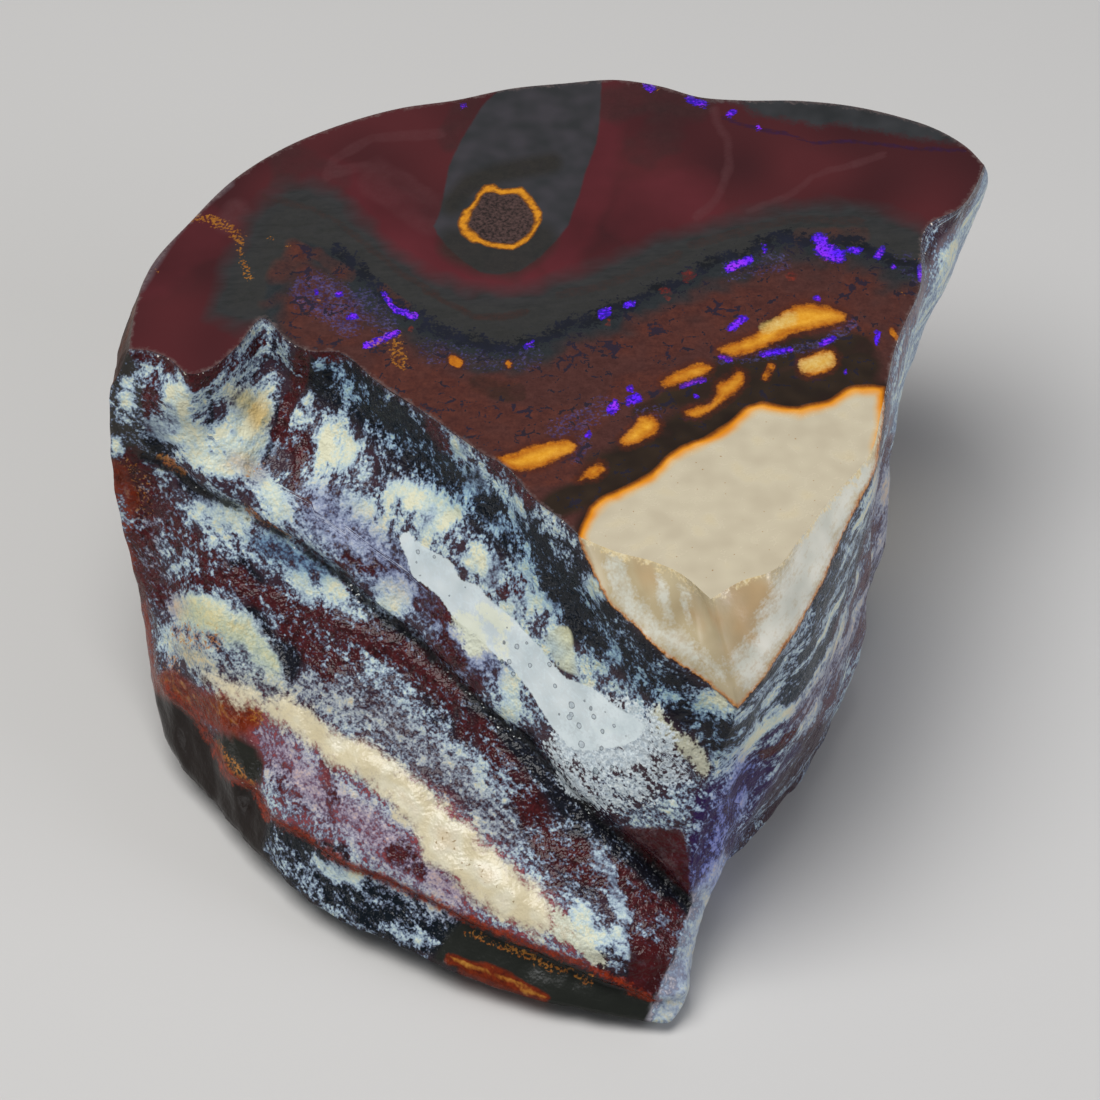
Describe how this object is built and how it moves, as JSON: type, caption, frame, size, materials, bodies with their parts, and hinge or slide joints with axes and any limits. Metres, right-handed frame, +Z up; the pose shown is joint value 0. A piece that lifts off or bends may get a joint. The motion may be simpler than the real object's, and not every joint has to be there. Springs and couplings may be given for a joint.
{
  "type": "boulder opal slab",
  "caption": "Thick piece of boulder opal ironstone with a flat polished top, a stepped broken front with frosted blue and cream opal, and a flat underside to stand on.",
  "frame": {"origin": "middle of the bounding box of the whole stone, on the plane of its flat underside", "axes": "+Z up, square to the polished top and the flat underside; -Y towards the broken front that the viewer faces; +X towards the steep right flank"},
  "size_m": [0.0884, 0.0943, 0.042],
  "materials": {
    "ironstone": "polished maroon ironstone top with opal seams, natural broken and skinned sides"
  },
  "bodies": {
    "root": {"boulder_opal": "ironstone"}
  },
  "joints": []
}
